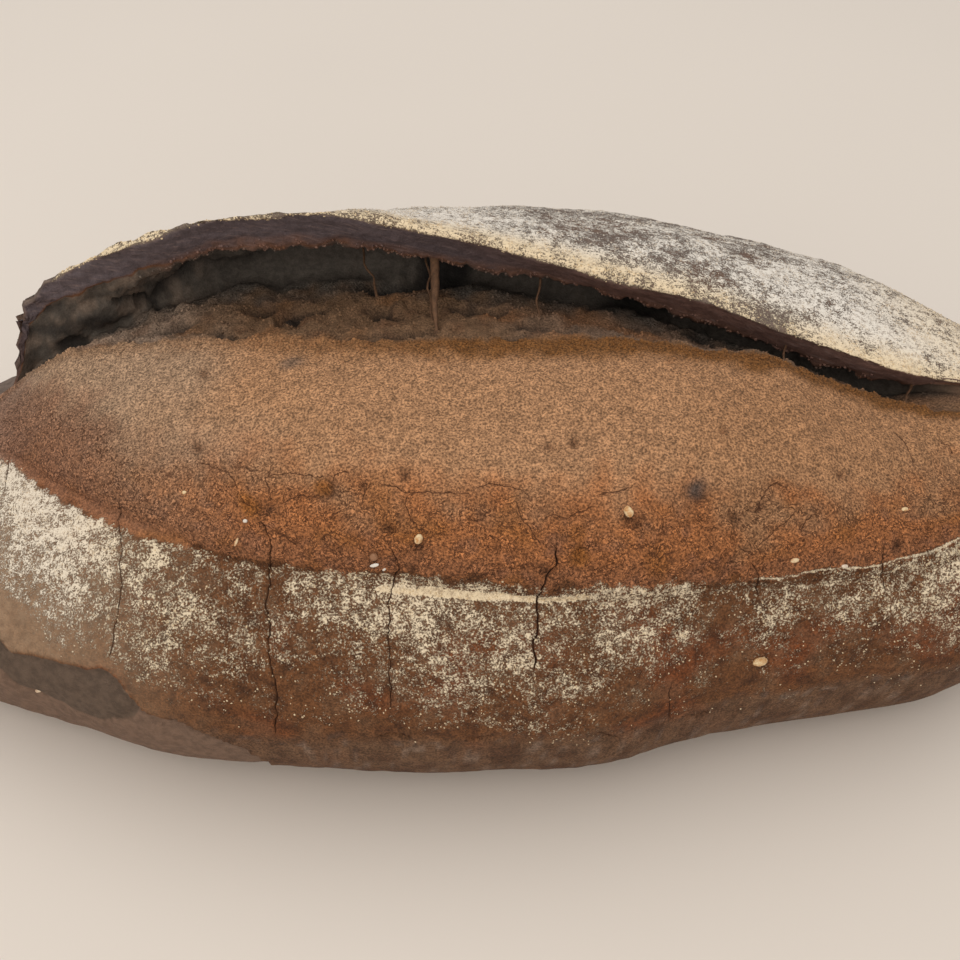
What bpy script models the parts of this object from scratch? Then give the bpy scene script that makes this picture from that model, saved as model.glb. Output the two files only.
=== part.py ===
"""Rye bread loaf: an oval batard with one long slash that has opened into an ear.

The loaf is one solid, lofted along its length from closed cross-sections.
It lies along X and stands on its flat base at z = 0. The near side, where the
bloom swells out below the ear, faces -Y. All sizes below are in millimetres.
"""

import math

import bmesh
import bpy
import numpy as np

MM = 0.001

# The body of the loaf before the slash opens.
HALF_LENGTH = 143.0
FRONT_HALF_WIDTH = 73.8
BACK_HALF_WIDTH = 74.0
CROWN_HEIGHT = 80.0
WIDEST_HEIGHT = 27.0
END_ROUNDNESS = 2.05     # 2 is an ellipse in plan, more is blunter
CROWN_ROUNDNESS = 2.2    # the same across the loaf
BASE_SHARE = 0.74        # the base's half-width against the body's
FOOT_ANGLE = 62.0        # degrees that the side rolls under before it meets the base
LIFTED_SHARE = 0.80      # below this share of full width the underside lifts off

# The left end is drawn in at the back, turns a little to the front and lies lower.
LEFT_STARTS = 30.0
LEFT_ENDS = -125.0
LEFT_DRAWN_IN = 0.40
LEFT_LOWERED = 0.42
LEFT_TURNED = -9.0
# How far the front stands out beyond (+) or falls short of (-) an even oval, as (x, distance).
FRONT_SWELL = [(-143, 0), (-110, -3), (-80, -2.8), (-55, -0.1), (-25, -1), (10, -0.8), (30, -1.8),
               (55, -5.5), (80, -3.8), (105, 1.6), (125, 1.8), (143, 0)]

# Lines along the slash, each as (x, value). Shares are of the body's half-width.
FLOUR_LINE_SHARE = [(-143, -0.02), (-108, -0.06), (-92, -0.22), (-80, -0.40), (-60, -0.59),
                    (-30, -0.76), (0, -0.815), (45, -0.87), (75, -0.88), (100, -0.81),
                    (123, -0.36), (143, -0.15)]
RIDGE_Y = [(-108, 0), (-92, 3), (-76, -1), (-45, -7), (0, -13), (60, -13), (112, -14)]
RIDGE_Z = [(-108, 48), (-92, 55.5), (-76, 65), (-45, 73), (0, 77), (30, 77.5), (60, 74),
           (92, 62), (112, 57)]
LIP_Y = [(-97, 6), (-30, 5), (15, 5), (45, 2), (75, -6), (112, -10)]
LIP_Z = [(-97, 54), (-94, 60), (-90, 68.5), (-85, 75), (-76, 81.5), (-60, 88.5), (-45, 93),
         (-25, 94.5), (0, 89.5), (30, 81.5), (60, 75), (92, 66), (112, 59)]
SHUT_SHARE = [(-143, 0.0), (-95, 0.15), (0, 0.0), (110, -0.24), (143, -0.10)]

# The ear's cut face, the torn line below it and the hollow behind the bloom.
CUT_FACE_SET_BACK = [(-97, 1.2), (-80, 1.5), (-62, 3.5), (-45, 5), (112, 5)]
CUT_FACE_HEIGHT = [(-97, 3), (-80, 6), (-62, 8.8), (-30, 11), (0, 10), (30, 7), (92, 7.5),
                   (112, 3)]
HOLLOW_DEPTH = [(-97, 0.6), (-88, 0.9), (-80, 1.8), (-66, 7), (-45, 13), (0, 12), (45, 8),
                (92, 5), (112, 3)]
FLOOR_DROP = [(-97, 1), (-60, 5), (0, 7), (45, 11), (92, 7), (112, 2)]
EAR_ROOT_SHARE = 0.95    # where the raised ear runs out into the back crust
# How steeply it starts to fall behind the lip.
EAR_FALL = [(-97, 2.0), (-80, 1.8), (-62, 1.4), (-45, 1.1), (143, 1.1)]

# Where the bloom and the hollow open, from shut to fully open at each end.
BLOOM_OPENS = (-110.0, -88.0)
BLOOM_SHUTS = (98.0, 122.0)
HOLLOW_OPENS = (-98.0, -89.0)
HOLLOW_SHUTS = (90.0, 118.0)
SHUT_STEP = 0.04         # what separates the slash's lines, as a share, where it is shut

# How finely the loft is divided.
STATIONS = 60
EAR_END = (-100.0, -84.0)   # stations are twice as close here
FRONT_CELLS = 12
BLOOM_CELLS = 11
FLOOR_CELLS = 4
ROOF_CELLS = 3
FACE_CELLS = 2
BACK_CELLS = 15
BASE_CELLS = 6

CRUST_COLOUR = (0.105, 0.050, 0.030, 1.0)
CRUST_ROUGHNESS = 0.85


def clear_scene():
    for item in list(bpy.data.objects):
        bpy.data.objects.remove(item, do_unlink=True)


def ease(start, end, value):
    """Rise smoothly from 0 at start to 1 at end."""
    t = min(max((value - start) / (end - start), 0.0), 1.0)
    return t * t * (3.0 - 2.0 * t)


def along(line, x):
    """Read a smooth curve through the points of a line, without overshoot."""
    xs = [point[0] for point in line]
    ys = [point[1] for point in line]
    rise = [(ys[i + 1] - ys[i]) / (xs[i + 1] - xs[i]) for i in range(len(xs) - 1)]
    tangent = [rise[0]]
    for before, after in zip(rise, rise[1:]):
        same_way = before * after > 0.0
        tangent.append(2.0 * before * after / (before + after) if same_way else 0.0)
    tangent.append(rise[-1])
    x = min(max(x, xs[0]), xs[-1])
    i = min(int(np.searchsorted(xs, x, side="right")) - 1, len(rise) - 1)
    span = xs[i + 1] - xs[i]
    t = (x - xs[i]) / span
    level = ys[i] * (1 + 2 * t) * (1 - t) ** 2 + ys[i + 1] * t * t * (3 - 2 * t)
    return level + span * (tangent[i] * t * (1 - t) ** 2 + tangent[i + 1] * t * t * (t - 1))


def opening(x, opens, shuts):
    """How far the slash is open at x: 0 beyond its ends, 1 between them."""
    return ease(opens[0], opens[1], x) * (1.0 - ease(shuts[0], shuts[1], x))


def mix(a, b, share):
    return a + (b - a) * share


class Section:
    """One cross-section of the loaf at x, as points (y, z) in millimetres."""

    def __init__(self, x):
        self.x = x
        inside = max(1.0 - abs(x / HALF_LENGTH) ** END_ROUNDNESS, 0.0)
        self.fullness = inside ** (1.0 / END_ROUNDNESS)
        left = ease(LEFT_STARTS, LEFT_ENDS, x)
        self.centre = LEFT_TURNED * left * left
        self.front = (FRONT_HALF_WIDTH + self.centre) * self.fullness + along(FRONT_SWELL, x)
        self.back = BACK_HALF_WIDTH * self.fullness * (1.0 - LEFT_DRAWN_IN * left)
        self.rise = (CROWN_HEIGHT - WIDEST_HEIGHT) * self.fullness * (1.0 - LEFT_LOWERED * left)
        self.seated = math.sin(0.5 * math.pi * min(self.fullness / LIFTED_SHARE, 1.0))

    def on_crown(self, share):
        """The point of the plain crown at a share of the half-width, from -1 to 1."""
        half = self.front if share < 0.0 else self.back
        level = max(1.0 - abs(share) ** CROWN_ROUNDNESS, 0.0) ** (1.0 / CROWN_ROUNDNESS)
        return np.array((self.centre + share * half, WIDEST_HEIGHT + self.rise * level))

    def crown_run(self, start, end, cells):
        """Points along the crown, spaced evenly by angle."""
        turn = [math.copysign(math.acos((1.0 - abs(s) ** CROWN_ROUNDNESS) ** 0.5), s)
                for s in (start, end)]
        shares = []
        for t in np.linspace(turn[0], turn[1], cells + 1):
            shares.append(math.copysign(abs(math.sin(t)) ** (2.0 / CROWN_ROUNDNESS), t))
        return [self.on_crown(share) for share in shares]

    def foot(self, side, cells):
        """Points from the base's edge up to the widest line, on the side given by its sign."""
        half = self.front if side < 0 else self.back
        full_angle = math.radians(mix(90.0, FOOT_ANGLE, self.seated))
        tuck = 1.0 - BASE_SHARE * self.seated ** 2
        points = []
        for t in np.linspace(1.0, 0.0, cells + 1):
            inward = (1.0 - math.cos(full_angle * t)) / (1.0 - math.cos(full_angle))
            down = math.sin(full_angle * t) / math.sin(full_angle)
            y = self.centre + side * half * (1.0 - tuck * inward)
            points.append(np.array((y, WIDEST_HEIGHT * (1.0 - self.seated * down))))
        return points

    def slash_points(self):
        """The ridge, the hollow's back, the torn line and the ear's lip."""
        bloom = opening(self.x, BLOOM_OPENS, BLOOM_SHUTS)
        hollow = opening(self.x, HOLLOW_OPENS, HOLLOW_SHUTS)
        ridge = np.array((along(RIDGE_Y, self.x), along(RIDGE_Z, self.x)))
        lip = np.array((along(LIP_Y, self.x), along(LIP_Z, self.x)))
        torn = lip + (along(CUT_FACE_SET_BACK, self.x), -along(CUT_FACE_HEIGHT, self.x))
        heel = torn + (along(HOLLOW_DEPTH, self.x), 0.0)
        heel[1] = ridge[1] - along(FLOOR_DROP, self.x)
        shut = [self.on_crown(along(SHUT_SHARE, self.x) + SHUT_STEP * i) for i in range(4)]
        ridge = mix(shut[0], ridge, bloom)
        heel = mix(shut[1], heel, hollow)
        torn = mix(shut[2], torn, hollow)
        lip = mix(shut[3], lip, hollow)
        return bloom, hollow, ridge, heel, torn, lip

    def bloom_run(self, flour_share, ridge, bloom):
        """The swollen bloom: a quarter oval from the flour line up to the ridge."""
        plain = self.crown_run(flour_share, along(SHUT_SHARE, self.x), BLOOM_CELLS)
        start = plain[0]
        points = []
        for i, on_body in enumerate(plain):
            angle = 0.5 * math.pi * i / BLOOM_CELLS
            swell = start + (ridge - start) * (1.0 - math.cos(angle), math.sin(angle))
            points.append(mix(on_body, swell, bloom))
        return points

    def floor_run(self, ridge, heel, hollow):
        """The torn floor: a quick step down behind the ridge, then on to the heel."""
        points = []
        for t in np.linspace(0.0, 1.0, FLOOR_CELLS + 1):
            straight = mix(ridge, heel, t)
            stepped = np.array((straight[0], mix(ridge[1], heel[1], math.sin(0.5 * math.pi * t))))
            points.append(mix(straight, stepped, hollow))
        return points

    def back_run(self, lip):
        """The back crust: the plain crown, raised towards the lip to form the ear."""
        offset = lip[0] - self.centre
        lip_share = offset / (self.back if offset > 0.0 else self.front)
        run = self.crown_run(lip_share, 1.0, BACK_CELLS)
        lift = lip[1] - run[0][1]
        reach = self.centre + EAR_ROOT_SHARE * self.back - lip[0]
        fall = along(EAR_FALL, self.x)
        for point in run:
            t = min((point[0] - lip[0]) / reach, 1.0)
            point[1] += lift * (1.0 - t) ** 2 * (1.0 + (2.0 - fall) * t)
        return run

    def outline(self):
        """The whole closed outline, from the front edge of the base over the top and back."""
        bloom, hollow, ridge, heel, torn, lip = self.slash_points()
        flour_share = along(FLOUR_LINE_SHARE, self.x)
        foot_cells = FRONT_CELLS // 2
        points = self.foot(-1, foot_cells)[:-1]
        points += self.crown_run(-1.0, flour_share, FRONT_CELLS - foot_cells)[:-1]
        points += self.bloom_run(flour_share, ridge, bloom)[:-1]
        points += self.floor_run(ridge, heel, hollow)[:-1]
        points += [mix(heel, torn, t) for t in np.linspace(0.0, 1.0, ROOF_CELLS + 1)][:-1]
        points += [mix(torn, lip, t) for t in np.linspace(0.0, 1.0, FACE_CELLS + 1)][:-1]
        points += self.back_run(lip)[:-1]
        points += self.foot(1, foot_cells)[::-1][:-1]
        under = points[0], self.foot(1, foot_cells)[0]
        points += [mix(under[1], under[0], t) for t in np.linspace(0.0, 1.0, BASE_CELLS + 1)][:-1]
        return points


def station_places():
    """Where along X the sections stand: closer at both ends and where the ear ends."""
    places = [-HALF_LENGTH * math.cos(math.pi * i / STATIONS) for i in range(1, STATIONS)]
    between = [0.5 * (a + b) for a, b in zip(places, places[1:])]
    return sorted(places + [x for x in between if EAR_END[0] < x < EAR_END[1]])


def loft_loaf():
    """Join the cross-sections into one closed mesh, with a point at each end."""
    work = bmesh.new()
    rings = []
    for x in station_places():
        outline = Section(x).outline()
        rings.append([work.verts.new((x * MM, y * MM, z * MM)) for y, z in outline])
    for ring, following in zip(rings, rings[1:]):
        for i in range(len(ring)):
            j = (i + 1) % len(ring)
            work.faces.new((ring[i], ring[j], following[j], following[i]))
    for ring, side in ((rings[0], -1), (rings[-1], 1)):
        tip_y = Section(side * HALF_LENGTH).centre
        tip = work.verts.new((side * HALF_LENGTH * MM, tip_y * MM, WIDEST_HEIGHT * MM))
        for i in range(len(ring)):
            work.faces.new((ring[i], ring[(i + 1) % len(ring)], tip))
    bmesh.ops.recalc_face_normals(work, faces=work.faces)
    mesh = bpy.data.meshes.new("loaf")
    work.to_mesh(mesh)
    work.free()
    mesh.shade_smooth()
    mesh.set_sharp_from_angle(angle=math.radians(50.0))
    return mesh


def crust_material():
    material = bpy.data.materials.new("crust")
    material.use_nodes = True
    shader = material.node_tree.nodes["Principled BSDF"]
    shader.inputs["Base Color"].default_value = CRUST_COLOUR
    shader.inputs["Roughness"].default_value = CRUST_ROUGHNESS
    shader.inputs["Metallic"].default_value = 0.0
    return material


def main():
    clear_scene()
    parts = bpy.data.collections.new("rye_bread_loaf")
    bpy.context.scene.collection.children.link(parts)
    mesh = loft_loaf()
    mesh.materials.append(crust_material())
    loaf = bpy.data.objects.new("loaf", mesh)
    parts.objects.link(loaf)


main()
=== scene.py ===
import math

import bmesh
import bpy
import numpy as np
from mathutils import Matrix, Vector, noise


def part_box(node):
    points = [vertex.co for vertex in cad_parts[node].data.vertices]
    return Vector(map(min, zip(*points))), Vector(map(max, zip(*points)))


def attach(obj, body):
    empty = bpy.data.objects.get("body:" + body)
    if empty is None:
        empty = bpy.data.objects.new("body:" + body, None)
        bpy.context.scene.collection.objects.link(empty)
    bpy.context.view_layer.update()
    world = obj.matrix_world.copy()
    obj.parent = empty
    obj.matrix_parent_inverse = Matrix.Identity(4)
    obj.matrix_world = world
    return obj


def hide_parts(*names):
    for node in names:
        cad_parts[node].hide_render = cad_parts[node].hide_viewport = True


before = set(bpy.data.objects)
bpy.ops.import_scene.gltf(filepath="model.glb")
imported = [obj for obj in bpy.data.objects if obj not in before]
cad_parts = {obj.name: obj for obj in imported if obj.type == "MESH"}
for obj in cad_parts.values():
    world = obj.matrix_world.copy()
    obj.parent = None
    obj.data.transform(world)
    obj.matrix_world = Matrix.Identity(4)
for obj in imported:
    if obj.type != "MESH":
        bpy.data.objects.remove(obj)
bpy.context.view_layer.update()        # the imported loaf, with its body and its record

mm = 0.001
lowCorner, highCorner = (Vector(corner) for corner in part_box("loaf"))
loafMiddle = (lowCorner + highCorner) / 2


# ---- small helpers ----

def tone(red, green, blue):
    # a colour as a paint mixer gives it, 0 to 255, made linear for the shaders
    return tuple((c / 255 / 12.92) if c < 11 else ((c / 255 + 0.055) / 1.055) ** 2.4
                 for c in (red, green, blue))


def ease(start, end, value):
    # rises smoothly from 0 at start to 1 at end
    t = np.clip((np.asarray(value, float) - start) / (end - start), 0, 1)
    return t * t * (3 - 2 * t)


def band(low, high, soft, value):
    # 1 between low and high, fading over soft on both sides
    return ease(low - soft, low + soft, value) * (1 - ease(high - soft, high + soft, value))


def mix(a, b, share):
    return a + (b - a) * share


def along(line, x):
    # reads a smooth curve through a line's points, without overshoot
    xs, ys = np.array(line, float).T
    rise = np.diff(ys) / np.diff(xs)
    product, total = rise[:-1] * rise[1:], rise[:-1] + rise[1:]
    inner = np.where(product > 0, 2 * product / np.where(total == 0, 1, total), 0)
    slope = np.concatenate((rise[:1], inner, rise[-1:]))
    x = np.clip(x, xs[0], xs[-1])
    i = np.clip(np.searchsorted(xs, x, side="right") - 1, 0, len(rise) - 1)
    span = xs[i + 1] - xs[i]
    t = (x - xs[i]) / span
    level = ys[i] * (1 + 2 * t) * (1 - t) ** 2 + ys[i + 1] * t * t * (3 - 2 * t)
    return level + span * (slope[i] * t * (1 - t) ** 2 + slope[i + 1] * t * t * (t - 1))


def lumps(points, size, shift=0.0, stretch=(1, 1, 1)):
    # soft random swells of about the given size in millimetres, from -1 to 1
    scaled = points * np.array(stretch) / size + shift * 17.31
    return np.array([noise.noise(p) for p in scaled.tolist()]) * 1.6


# ---- the loaf's form, in millimetres, as the solid has it ----

loafForm = {
    "halfLength": (highCorner.x - lowCorner.x) / 2 / mm,
    "frontHalfWidth": 73.8,
    "backHalfWidth": 74.0,
    "crownHeight": 80.0,
    "widestHeight": 27.0,
    "endRoundness": 2.05,
    "crownRoundness": 2.2,
    "baseShare": 0.74,
    "footAngle": 62.0,
    "liftedShare": 0.80,
    "leftStarts": 30.0,
    "leftEnds": -125.0,
    "leftDrawnIn": 0.40,
    "leftLowered": 0.42,
    "leftTurned": -9.0,
    "frontSwell": [(-143, 0), (-110, -3), (-80, -2.8), (-55, -0.1), (-25, -1), (10, -0.8),
                   (30, -1.8), (55, -5.5), (80, -3.8), (105, 1.6), (125, 1.8), (143, 0)],
    "earRootShare": 0.95,
    "shutStep": 0.04,
    "bloomOpens": (-110, -88),
    "bloomShuts": (98, 122),
    "hollowOpens": (-98, -89),
    "hollowShuts": (90, 118),
}

slashLines = {
    "flourShare": [(-143, -0.02), (-108, -0.06), (-92, -0.22), (-80, -0.40), (-60, -0.59),
                   (-30, -0.76), (0, -0.815), (45, -0.87), (75, -0.88), (100, -0.81),
                   (123, -0.36), (143, -0.15)],
    "ridgeY": [(-108, 0), (-92, 3), (-76, -1), (-45, -7), (0, -13), (60, -13), (112, -14)],
    "ridgeZ": [(-108, 48), (-92, 55.5), (-76, 65), (-45, 73), (0, 77), (30, 77.5), (60, 74),
               (92, 62), (112, 57)],
    "lipY": [(-97, 6), (-30, 5), (15, 5), (45, 2), (75, -6), (112, -10)],
    "lipZ": [(-97, 54), (-94, 60), (-90, 68.5), (-85, 75), (-76, 81.5), (-60, 88.5), (-45, 93),
             (-25, 94.5), (0, 89.5), (30, 81.5), (60, 75), (92, 66), (112, 59)],
    "shutShare": [(-143, 0.0), (-95, 0.15), (0, 0.0), (110, -0.24), (143, -0.10)],
    "cutFaceSetBack": [(-97, 1.2), (-80, 1.5), (-62, 3.5), (-45, 5), (112, 5)],
    "cutFaceHeight": [(-97, 3), (-80, 6), (-62, 8.8), (-30, 11), (0, 10), (30, 7), (92, 7.5),
                      (112, 3)],
    "hollowDepth": [(-97, 0.6), (-88, 0.9), (-80, 1.8), (-66, 7), (-45, 13), (0, 12), (45, 8),
                    (92, 5), (112, 3)],
    "floorDrop": [(-97, 1), (-60, 5), (0, 7), (45, 11), (92, 7), (112, 2)],
    "earFall": [(-97, 2.0), (-80, 1.8), (-62, 1.4), (-45, 1.1), (143, 1.1)],
}


def sectionSizes(x):
    # what a cross-section needs to know, for every x at once
    form = loafForm
    size = {"x": x}
    inside = np.clip(1 - np.abs(x / form["halfLength"]) ** form["endRoundness"], 1e-6, None)
    size["fullness"] = inside ** (1 / form["endRoundness"])
    left = ease(form["leftStarts"], form["leftEnds"], x)
    size["centre"] = form["leftTurned"] * left * left
    size["front"] = ((form["frontHalfWidth"] + size["centre"]) * size["fullness"]
                     + along(form["frontSwell"], x))
    size["back"] = form["backHalfWidth"] * size["fullness"] * (1 - form["leftDrawnIn"] * left)
    size["rise"] = ((form["crownHeight"] - form["widestHeight"]) * size["fullness"]
                    * (1 - form["leftLowered"] * left))
    size["seated"] = np.sin(math.pi / 2 * np.minimum(size["fullness"] / form["liftedShare"], 1))
    size["bloom"] = ease(*form["bloomOpens"], x) * (1 - ease(*form["bloomShuts"], x))
    size["hollow"] = ease(*form["hollowOpens"], x) * (1 - ease(*form["hollowShuts"], x))
    return size


# A point of a section is kept as one complex number: across the loaf + 1j * height.

def crownPoint(size, share):
    half = np.where(share < 0, size["front"], size["back"])
    power = loafForm["crownRoundness"]
    level = np.clip(1 - np.abs(share) ** power, 0, None) ** (1 / power)
    return size["centre"] + share * half + 1j * (loafForm["widestHeight"] + size["rise"] * level)


def crownRun(size, start, end, t):
    # walks along the crown by angle, from one share of the half-width to another
    power = loafForm["crownRoundness"]
    turns = [np.sign(s) * np.arccos(np.sqrt(np.clip(1 - np.abs(s) ** power, 0, 1)))
             for s in (start, end)]
    turn = mix(turns[0], turns[1], t)
    return crownPoint(size, np.sign(turn) * np.abs(np.sin(turn)) ** (2 / power))


def footPoint(size, side, down):
    # down is 0 at the widest line and 1 at the edge of the base
    half = size["front"] if side < 0 else size["back"]
    fullAngle = np.radians(mix(90, loafForm["footAngle"], size["seated"]))
    tuck = 1 - loafForm["baseShare"] * size["seated"] ** 2
    inward = (1 - np.cos(fullAngle * down)) / (1 - np.cos(fullAngle))
    drop = np.sin(fullAngle * down) / np.sin(fullAngle)
    return (size["centre"] + side * half * (1 - tuck * inward)
            + 1j * loafForm["widestHeight"] * (1 - size["seated"] * drop))


def slashPoints(size):
    x = size["x"]
    read = {name: along(line, x) for name, line in slashLines.items()}
    ridge = read["ridgeY"] + 1j * read["ridgeZ"]
    lip = read["lipY"] + 1j * read["lipZ"]
    torn = lip + read["cutFaceSetBack"] - 1j * read["cutFaceHeight"]
    heel = torn.real + read["hollowDepth"] + 1j * (read["ridgeZ"] - read["floorDrop"])
    shut = [crownPoint(size, read["shutShare"] + loafForm["shutStep"] * i) for i in range(4)]
    return {
        "flour": read["flourShare"],
        "shut": read["shutShare"],
        "ridge": mix(shut[0], ridge, size["bloom"]),
        "heel": mix(shut[1], heel, size["hollow"]),
        "torn": mix(shut[2], torn, size["hollow"]),
        "lip": mix(shut[3], lip, size["hollow"]),
    }


def bloomPoint(size, slash, t):
    plain = crownRun(size, slash["flour"], slash["shut"], t)
    start = crownPoint(size, slash["flour"])
    reach = slash["ridge"] - start
    turn = math.pi / 2 * t
    swell = start + reach.real * (1 - np.cos(turn)) + 1j * reach.imag * np.sin(turn)
    return mix(plain, swell, size["bloom"])


def floorPoint(size, slash, t):
    straight = mix(slash["ridge"], slash["heel"], t)
    stepped = mix(slash["ridge"].imag, slash["heel"].imag, np.sin(math.pi / 2 * t))
    return mix(straight, straight.real + 1j * stepped, size["hollow"])


def backPoint(size, slash, t):
    lip = slash["lip"]
    offset = lip.real - size["centre"]
    lipShare = offset / np.where(offset > 0, size["back"], size["front"])
    point = crownRun(size, lipShare, np.ones_like(lipShare), t)
    lift = lip.imag - crownPoint(size, lipShare).imag
    reach = size["centre"] + loafForm["earRootShare"] * size["back"] - lip.real
    left = 1 - np.minimum((point.real - lip.real) / reach, 1)
    fall = along(slashLines["earFall"], size["x"])
    return point + 1j * lift * left ** 2 * (1 + (2 - fall) * (1 - left))


# A ring place is a number from 0 to 9: its whole part says which run of the section.
ringRuns = ("footFront", "wall", "bloom", "floor", "roof", "face", "back", "footBack", "base")


def loafSurface(x, place):
    size = sectionSizes(x)
    slash = slashPoints(size)
    run = np.minimum(np.floor(place), 8)
    t = place - run
    runPoints = [
        footPoint(size, -1, 1 - t),
        crownRun(size, -np.ones_like(x), slash["flour"], t),
        bloomPoint(size, slash, t),
        floorPoint(size, slash, t),
        mix(slash["heel"], slash["torn"], t),
        mix(slash["torn"], slash["lip"], t),
        backPoint(size, slash, t),
        footPoint(size, 1, t),
        mix(footPoint(size, 1, 1.0), footPoint(size, -1, 1.0), t),
    ]
    point = np.select([run == i for i in range(9)], runPoints)
    return np.stack((x, point.real, point.imag), axis=-1)


# ---- the crust: one closed skin with all its relief and colour ----

crustSkin = {
    "middleStep": 0.72,       # between sections where the loaf is seen closest
    "middleReach": 102.0,
    "endSections": 28,        # on each end beyond that
    "ringCells": {"footFront": 9, "wall": 54, "bloom": 80, "floor": 26, "roof": 12,
                  "face": 14, "back": 56, "footBack": 6, "base": 5},
    "backCrowding": 1.5,      # above 1 the back's cells gather at the lip
}

crackRoutes = [
    {"route": [(-28, -61.2), (-23, -60.1), (-15, -59.2), (-8.2, -60.2), (-1, -61.3), (4, -61.0)],
     "half": 0.15, "deep": 0.4},
    {"route": [(-34, -30.9), (-20.5, -30.1), (-16.6, -30.8), (-9.3, -31.2), (1.8, -31.3),
               (4.8, -30.9), (7.8, -31.9), (9.6, -33.1)], "half": 0.21, "deep": 0.8},
    {"route": [(-25, -9.2), (-14, -10), (-6.9, -9.5), (-1.4, -9.5), (0.6, -8.4), (2.5, -7.2),
               (4.8, -8.0), (7.4, -9.2)], "half": 0.15, "deep": 0.5},
    {"route": [(-14, 16.4), (-8, 16.5), (-0.4, 17.1), (2.6, 17.7), (5.3, 18.3), (6.5, 19.7),
               (8.7, 19.9), (11.6, 19.8)], "half": 0.26, "deep": 0.9},
    {"route": [(-1.6, 58.0), (0.8, 57.3), (3.2, 57.3), (6.3, 55.2)], "half": 0.16, "deep": 0.5},
    {"route": [(-2.3, 82), (0.3, 81.7), (3.3, 81.2), (6.5, 81.8)], "half": 0.17, "deep": 0.4},
    {"route": [(-29, 43), (-24, 42), (-18, 42)], "half": 0.16, "deep": 0.3},
    {"route": [(-9, -88.4), (0, -89.6)], "half": 0.18, "deep": 0.4},
]


def sectionPlaces():
    # where the sections stand: even in the middle, closer at the tips and at each crack
    skin = crustSkin
    reach = skin["middleReach"]
    rest = loafForm["halfLength"] - reach
    middle = np.linspace(-reach, reach, int(2 * reach / skin["middleStep"]) + 1)
    turn = np.linspace(0, math.pi / 2, skin["endSections"] + 1)[1:]
    end = reach + rest * np.sin(turn)
    places = np.concatenate((-end[::-1], middle, end))
    for crack in crackRoutes:
        x = crackCentre(crack)
        places = places[np.abs(places - x) > 1.05]
        places = np.append(places, x + np.array((-0.8, -crack["half"], 0, crack["half"], 0.8)))
    return np.sort(places)


def crackCentre(crack):
    return sum(x for height, x in crack["route"]) / len(crack["route"])


def ringPlaces():
    places = []
    for i, name in enumerate(ringRuns):
        t = np.arange(crustSkin["ringCells"][name]) / crustSkin["ringCells"][name]
        if name == "back":
            t = t ** crustSkin["backCrowding"]
        places.extend(i + t)
    return np.array(places + [9.0])


def measureRise(points, place, start):
    # arc length along each section, 0 at the ring place start, in millimetres
    step = np.linalg.norm(np.diff(points, axis=1), axis=2)
    arc = np.concatenate((np.zeros((len(points), 1)), np.cumsum(step, axis=1)), axis=1)
    return arc - arc[:, [int(np.argmin(np.abs(place[0] - start)))]]


def bendToCracks(x, rise):
    # draws the sections near a crack onto its wandering route
    shift = np.zeros_like(x)
    for crack in crackRoutes:
        heights, offsets = np.array(crack["route"], float).T
        centre = crackCentre(crack)
        route = np.interp(rise, heights, offsets - centre)
        spots = np.stack((rise, np.full_like(rise, centre), np.zeros_like(rise)), axis=-1)
        spots = spots.reshape(-1, 3)
        wander = (0.5 * lumps(spots, 3.7, 50) + 0.28 * lumps(spots, 1.1, 51)).reshape(rise.shape)
        near = 1 - ease(1.0, 7.0, np.abs(x - centre))
        shift += near * (route + wander)
    return x + shift


def crackMask(x, rise):
    # 1 in the middle of a crack's groove and 0 at its sides, and how deep it goes there
    mask, deep = np.zeros_like(x), np.zeros_like(x)
    for crack in crackRoutes:
        heights = [height for height, offset in crack["route"]]
        middle = np.abs(x - crackCentre(crack)) < 0.01
        spots = np.stack((rise, x, np.zeros_like(rise)), axis=-1)
        broken = 0.85 + 0.45 * lumps(spots[middle], 2.6, 52)
        fade = band(min(heights), max(heights), 1.8, rise[middle]) * np.clip(broken, 0.15, 1)
        mask[middle] = np.maximum(mask[middle], fade)
        deep[middle] += fade * crack["deep"]
    return mask, deep


def outwardNormals(points):
    # points has one row for each section and one column for each ring place
    ring = points[:, :-1]
    around = np.roll(ring, -1, axis=1) - np.roll(ring, 1, axis=1)
    lengthwise = np.gradient(ring, axis=0)
    normal = np.cross(lengthwise, around)
    normal /= np.maximum(np.linalg.norm(normal, axis=2, keepdims=True), 1e-9)
    return np.concatenate((normal, normal[:, :1]), axis=1)


# small marks on the bloom and crust: (x, height above the flour line), radius, how high
crustMarks = {
    "pits": [(-47, 36.6, 1.0), (-46, 19.5, 1.2), (-20.0, 15.6, 1.1), (-19.8, 17.2, 0.9),
             (-33.6, 12.2, 1.3), (-30.9, 12.3, 1.2), (-9.4, 11.2, 1.0), (19, 29.9, 0.9),
             (23.5, 30, 1.0), (45.5, 20.4, 1.5), (46.3, 18.8, 1.1), (18.0, 6.0, 1.1),
             (-6.6, 21.0, 0.9), (-14, 17.8, 0.7), (-5.2, 3.5, 0.8), (33, 15.6, 1.2),
             (-3.9, 7.6, 1.3), (34.5, 14.5, 1.0), (-12.2, 5.0, 1.0), (52.4, 14.6, 1.1),
             (57.1, 16.8, 0.9), (84.8, 6.2, 1.2), (51.6, 31.2, 0.7), (74.1, 21.7, 0.8),
             (24.1, 7.6, 1.3), (24.1, 9.4, 1.3)],
    "pitDepth": 0.75,
    "bumps": [(-54.5, 23.6, 1.6), (-29.5, 45.0, 2.2), (-39, 14.0, 1.6), (-31, 17, 2.2)],
    "bumpHeight": 0.55,
    "rings": [(-65.5, 7.2, 4.3, 0.5), (-26.5, 17.5, 3.4, 0.25), (60.5, 18.2, 4.2, 0.4),
              (-42, 11.5, 3.6, 0.3), (96.0, 26.0, 4.5, 0.4), (-11.2, 15.1, 1.5, 0.25)],
}

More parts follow.
